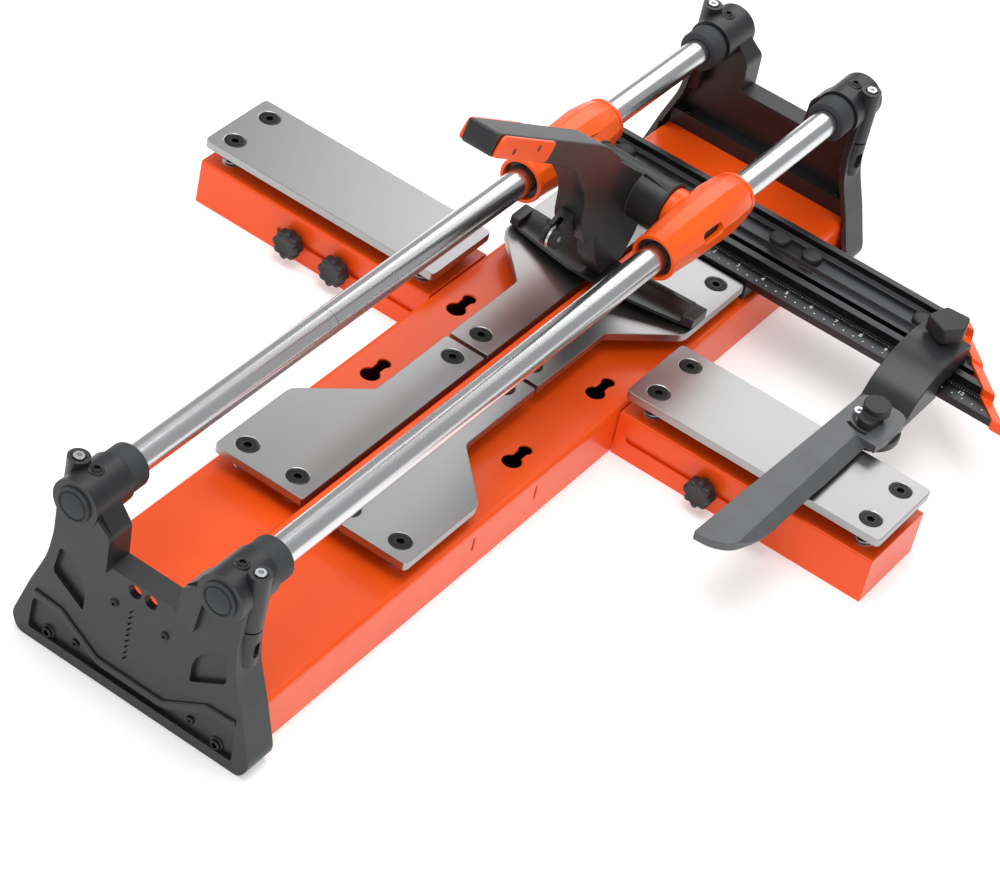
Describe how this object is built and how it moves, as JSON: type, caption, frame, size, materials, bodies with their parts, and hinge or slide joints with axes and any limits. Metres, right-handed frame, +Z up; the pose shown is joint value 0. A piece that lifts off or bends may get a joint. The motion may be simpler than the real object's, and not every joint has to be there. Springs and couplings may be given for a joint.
{
  "type": "manual tile cutter",
  "caption": "Manual tile cutter with a sprung steel platform, pull-out side arms, a ruler with a swinging stop, and a scoring and breaking lever that slides on two chromed rods.",
  "frame": {"origin": "middle of the bench on the surface that it stands on", "axes": "+Z up, +Y along the guide rods from the end where the operator stands to the end with the ruler, +X to the side that the ruler reaches out to"},
  "size_m": [0.7074, 0.9196, 0.3637],
  "materials": {
    "orange_paint": "satin powder coat",
    "orange_casting": "satin paint on a faceted casting",
    "dark_casting": "satin painted die casting",
    "brushed_plate": "brushed",
    "chrome_rod": "polished",
    "bare_steel": "satin",
    "black_anodised": "satin anodised extrusion",
    "black_plastic": "matt",
    "orange_plastic": "semi-gloss",
    "rubber": "matt"
  },
  "bodies": {
    "bench": {"base_tray": "orange_paint", "breaking_ridge": "orange_paint", "end_bracket_front": "dark_casting", "end_bracket_rear": "dark_casting", "guide_rod_left": "chrome_rod", "guide_rod_right": "chrome_rod", "rod_bumper_front_left": "rubber", "socket_cap_front_left": "black_plastic", "clamp_bolt_front_left": "bare_steel", "rod_bumper_front_right": "rubber", "socket_cap_front_right": "black_plastic", "clamp_bolt_front_right": "bare_steel", "rod_bumper_rear_left": "rubber", "socket_cap_rear_left": "black_plastic", "clamp_bolt_rear_left": "bare_steel", "rod_bumper_rear_right": "rubber", "socket_cap_rear_right": "black_plastic", "clamp_bolt_rear_right": "bare_steel", "arm_rail_left": "orange_paint", "arm_rail_right": "orange_paint", "ruler_bar": "black_anodised", "ruler_cap_left": "orange_plastic", "ruler_cap_right": "orange_plastic", "ruler_foot_left": "black_plastic", "ruler_foot_right": "black_plastic", "ruler_bolt_1": "black_plastic", "ruler_bolt_2": "black_plastic", "ruler_bolt_3": "black_plastic", "ruler_bolt_4": "black_plastic"},
    "plate_front_left": {"plate_front_left": "brushed_plate"},
    "plate_front_right": {"plate_front_right": "brushed_plate"},
    "plate_rear_left": {"plate_rear_left": "brushed_plate"},
    "plate_rear_right": {"plate_rear_right": "brushed_plate"},
    "side_arm_left": {"side_arm_left": "orange_paint"},
    "arm_plate_left": {"arm_plate_left": "brushed_plate"},
    "star_knob_left_inner": {"star_knob_left_inner": "black_plastic"},
    "star_knob_left_outer": {"star_knob_left_outer": "black_plastic"},
    "side_arm_right": {"side_arm_right": "orange_paint"},
    "arm_plate_right": {"arm_plate_right": "brushed_plate"},
    "star_knob_right_inner": {"star_knob_right_inner": "black_plastic"},
    "star_knob_right_outer": {"star_knob_right_outer": "black_plastic"},
    "stop_slider": {"stop_slider": "dark_casting"},
    "stop_blade": {"stop_blade": "dark_casting"},
    "stop_clamp": {"stop_clamp": "black_plastic"},
    "stop_wing_knob": {"stop_wing_knob": "black_plastic"},
    "carriage": {"bearing_housing_left": "orange_casting", "bearing_housing_right": "orange_casting", "rod_bush_left": "black_plastic", "rod_bush_right": "black_plastic", "cross_axle": "bare_steel"},
    "lever": {"handle_lever": "dark_casting", "grip_insert_left": "orange_plastic", "grip_insert_right": "orange_plastic", "breaker_foot": "black_plastic", "wheel_holder": "dark_casting", "wheel_pin": "bare_steel"},
    "cutting_wheel": {"cutting_wheel": "bare_steel"}
  },
  "joints": [
    {"name": "plate_front_left_press", "type": "slide", "parent": "bench", "child": "plate_front_left", "axis": [0, 0, 1], "range_m": [-0.004, 0], "stiffness_N_per_m": 20000, "springref_m": 0.002},
    {"name": "plate_front_right_press", "type": "slide", "parent": "bench", "child": "plate_front_right", "axis": [0, 0, 1], "range_m": [-0.004, 0], "stiffness_N_per_m": 20000, "springref_m": 0.002},
    {"name": "plate_rear_left_press", "type": "slide", "parent": "bench", "child": "plate_rear_left", "axis": [0, 0, 1], "range_m": [-0.004, 0], "stiffness_N_per_m": 20000, "springref_m": 0.002},
    {"name": "plate_rear_right_press", "type": "slide", "parent": "bench", "child": "plate_rear_right", "axis": [0, 0, 1], "range_m": [-0.004, 0], "stiffness_N_per_m": 20000, "springref_m": 0.002},
    {"name": "side_arm_left_pull", "type": "slide", "parent": "bench", "child": "side_arm_left", "axis": [-1, 0, 0], "range_m": [0, 0.07]},
    {"name": "arm_plate_left_press", "type": "slide", "parent": "side_arm_left", "child": "arm_plate_left", "axis": [0, 0, 1], "range_m": [-0.004, 0], "stiffness_N_per_m": 20000, "springref_m": 0.002},
    {"name": "star_knob_left_inner_turn", "type": "hinge", "parent": "bench", "child": "star_knob_left_inner", "pos_m": [-0.1923, 0.0606, 0.021], "axis": [0, -1, 0], "continuous": true},
    {"name": "star_knob_left_outer_turn", "type": "hinge", "parent": "bench", "child": "star_knob_left_outer", "pos_m": [-0.2423, 0.0606, 0.021], "axis": [0, -1, 0], "continuous": true},
    {"name": "side_arm_right_pull", "type": "slide", "parent": "bench", "child": "side_arm_right", "axis": [1, 0, 0], "range_m": [0, 0.07]},
    {"name": "arm_plate_right_press", "type": "slide", "parent": "side_arm_right", "child": "arm_plate_right", "axis": [0, 0, 1], "range_m": [-0.004, 0], "stiffness_N_per_m": 20000, "springref_m": 0.002},
    {"name": "star_knob_right_inner_turn", "type": "hinge", "parent": "bench", "child": "star_knob_right_inner", "pos_m": [0.1923, 0.0606, 0.021], "axis": [0, -1, 0], "continuous": true},
    {"name": "star_knob_right_outer_turn", "type": "hinge", "parent": "bench", "child": "star_knob_right_outer", "pos_m": [0.2423, 0.0606, 0.021], "axis": [0, -1, 0], "continuous": true},
    {"name": "stop_slide", "type": "slide", "parent": "bench", "child": "stop_slider", "axis": [1, 0, 0], "range_m": [-0.14, 0]},
    {"name": "stop_swing", "type": "hinge", "parent": "stop_slider", "child": "stop_blade", "pos_m": [0.273, 0.175, 0.074], "axis": [0, 0, 1], "range_deg": [0, 45]},
    {"name": "stop_clamp_turn", "type": "hinge", "parent": "stop_slider", "child": "stop_clamp", "pos_m": [0.2685, 0.29185, 0.1], "axis": [0, 0, 1], "continuous": true},
    {"name": "stop_wing_turn", "type": "hinge", "parent": "stop_slider", "child": "stop_wing_knob", "pos_m": [0.273, 0.175, 0.09], "axis": [0, 0, 1], "continuous": true},
    {"name": "carriage_slide", "type": "slide", "parent": "bench", "child": "carriage", "axis": [0, 1, 0], "range_m": [-0.505, 0.03]},
    {"name": "lever_swing", "type": "hinge", "parent": "carriage", "child": "lever", "pos_m": [0, 0.185, 0.158], "axis": [1, 0, 0], "range_deg": [-40, 33]},
    {"name": "wheel_spin", "type": "hinge", "parent": "lever", "child": "cutting_wheel", "pos_m": [0, 0.061, 0.172], "axis": [1, 0, 0], "continuous": true}
  ]
}
